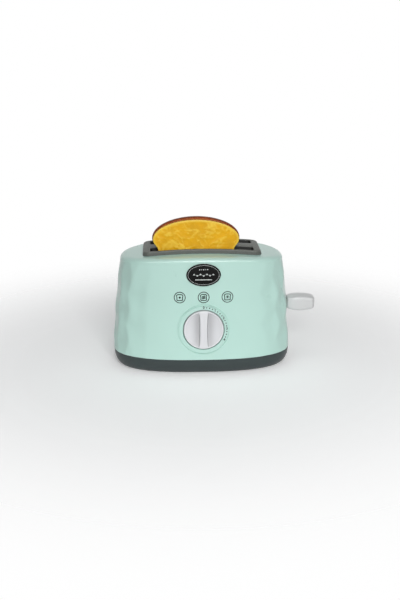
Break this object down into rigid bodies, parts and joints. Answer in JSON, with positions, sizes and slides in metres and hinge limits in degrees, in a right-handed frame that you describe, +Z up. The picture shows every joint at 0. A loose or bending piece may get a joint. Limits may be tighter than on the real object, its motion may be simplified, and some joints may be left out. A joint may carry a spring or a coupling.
{
  "type": "toy toaster",
  "caption": "Play toaster with a push-down lever, two bread slots, a loose slice of toast and a wind-up timer knob that holds the lever down.",
  "frame": {"origin": "middle of the flat underside", "axes": "+Z up, +X towards the lever, -Y towards the knob and the badge"},
  "size_m": [0.2057, 0.0999, 0.1523],
  "materials": {
    "shell_mint": "glossy moulded mint-green plastic",
    "base_slate": "satin moulded slate-grey plastic",
    "bezel_grey": "fine-grained warm grey plastic",
    "badge_black": "glossy black plastic",
    "knob_white": "satin white plastic",
    "lever_white": "glossy white plastic",
    "toast_yellow": "moulded yellow plastic, printed with pale strands",
    "crust_brown": "glossy chestnut-brown plastic",
    "liner_dark": "dark moulded plastic",
    "inner_plastic": "natural moulded plastic",
    "gear_plastic": "natural acetal",
    "steel": "zinc-plated steel",
    "spring_steel": "drawn spring steel"
  },
  "bodies": {
    "casing": {"body_shell": "shell_mint", "base_tray": "base_slate", "top_bezel": "bezel_grey", "badge_plate": "badge_black", "end_plate_lever_side": "liner_dark", "end_plate_far_side": "liner_dark", "liner_panel_front_outer": "liner_dark", "liner_panel_front_inner": "liner_dark", "liner_panel_rear_inner": "liner_dark", "liner_panel_rear_outer": "liner_dark", "liner_floor": "liner_dark", "guide_rod_front": "steel", "guide_rod_rear": "steel", "guide_rod_far_side": "steel", "lift_spring_front": "spring_steel", "lift_spring_rear": "spring_steel", "timer_plate_front": "steel", "timer_plate_rear": "steel", "timer_spacer_1": "steel", "timer_spacer_2": "steel", "timer_spacer_3": "steel", "timer_spacer_4": "steel", "timer_screw_1": "steel", "timer_screw_2": "steel", "timer_screw_3": "steel", "timer_screw_4": "steel", "mainspring": "spring_steel", "base_screw_1": "steel", "base_screw_2": "steel", "base_screw_3": "steel", "base_screw_4": "steel"},
    "carriage": {"carriage_slider": "inner_plastic", "carriage_crossbar": "inner_plastic", "toast_shelf_front": "inner_plastic", "toast_shelf_rear": "inner_plastic", "catch_arm": "steel", "lever_knob": "lever_white", "shelf_screw_1": "steel", "shelf_screw_2": "steel", "shelf_screw_3": "steel", "shelf_screw_4": "steel", "catch_screw_1": "steel", "catch_screw_2": "steel"},
    "toast": {"toast_face": "toast_yellow", "toast_crust": "crust_brown"},
    "timer_shaft": {"knob": "knob_white", "timer_arbor": "steel", "timer_cam": "gear_plastic", "main_gear": "gear_plastic"},
    "second_wheel": {"timer_wheel": "gear_plastic", "timer_wheel_arbor": "steel"},
    "governor": {"timer_fly": "gear_plastic"}
  },
  "joints": [
    {"name": "lever_push", "type": "slide", "parent": "casing", "child": "carriage", "axis": [0, 0, -1], "range_m": [0, 0.03], "stiffness_N_per_m": 120, "springref_m": -0.03, "deforming": ["lift_spring_front", "lift_spring_rear"]},
    {"name": "toast_lift", "type": "slide", "parent": "carriage", "child": "toast", "axis": [0, 0, 1], "range_m": [0, 0.095]},
    {"name": "knob_turn", "type": "hinge", "parent": "casing", "child": "timer_shaft", "pos_m": [0, -0.0492, 0.04705], "axis": [0, 1, 0], "range_deg": [0, 117], "stiffness_Nm_per_rad": 0.02, "springref_deg": -28.65},
    {"name": "second_wheel_spin", "type": "hinge", "parent": "casing", "child": "second_wheel", "pos_m": [-0.02262, -0.0335, 0.04705], "axis": [0, 1, 0], "range_deg": [-470, 2]},
    {"name": "governor_spin", "type": "hinge", "parent": "casing", "child": "governor", "pos_m": [-0.01319, -0.0335, 0.06339], "axis": [0, 1, 0], "range_deg": [-2, 1876]}
  ],
  "couplings": [
    {"joint": "second_wheel_spin", "follows": "knob_turn", "ratio": -4},
    {"joint": "governor_spin", "follows": "knob_turn", "ratio": 16}
  ]
}
